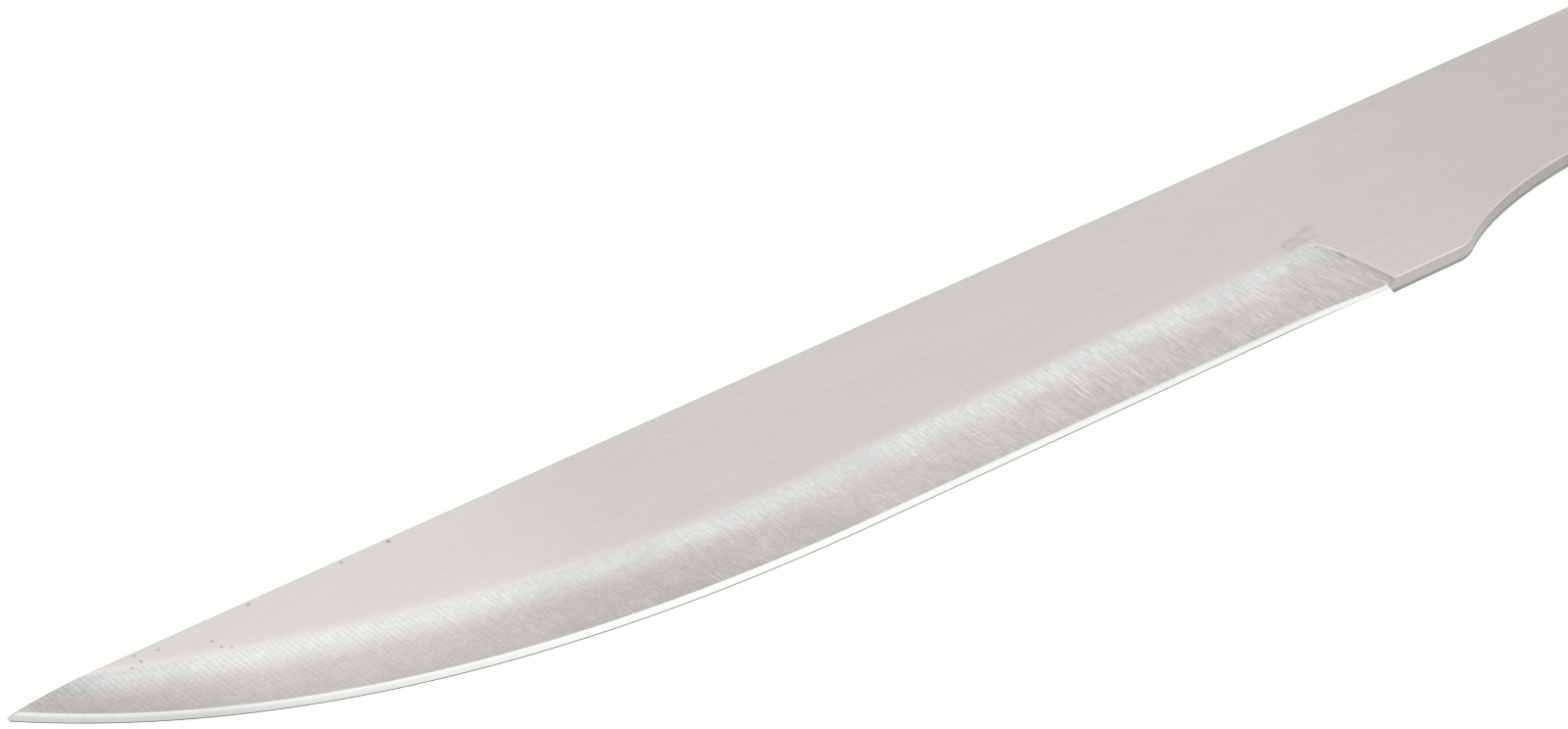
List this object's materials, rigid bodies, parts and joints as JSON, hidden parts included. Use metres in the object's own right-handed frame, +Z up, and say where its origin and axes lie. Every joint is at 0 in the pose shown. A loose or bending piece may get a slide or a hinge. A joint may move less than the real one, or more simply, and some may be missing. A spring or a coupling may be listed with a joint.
{
  "type": "barbecue knife",
  "caption": "Barbecue knife with a hollow-ground stamped steel blade, upswept belly, full tang, riveted wooden scales and a lined hanging hole in the butt.",
  "frame": {"origin": "on the surface the knife lies on, under the middle of its box", "axes": "+X from the point to the butt, +Y from the cutting edge to the spine, +Z up out of the blade's upper face"},
  "size_m": [0.3558, 0.0306, 0.019],
  "materials": {
    "blade_steel": "satin flats brushed lengthwise, hollow grind with crosswise grinding lines",
    "handle_wood": "oiled hardwood, sanded smooth",
    "rivet_brass": "ground flush and lightly brushed"
  },
  "bodies": {
    "root": {"blade": "blade_steel", "scale_top": "handle_wood", "scale_bottom": "handle_wood", "rivet_front_sleeve": "rivet_brass", "rivet_front_post": "rivet_brass", "rivet_middle_sleeve": "rivet_brass", "rivet_middle_post": "rivet_brass", "rivet_rear_sleeve": "rivet_brass", "rivet_rear_post": "rivet_brass", "hang_eyelet": "rivet_brass"}
  },
  "joints": []
}
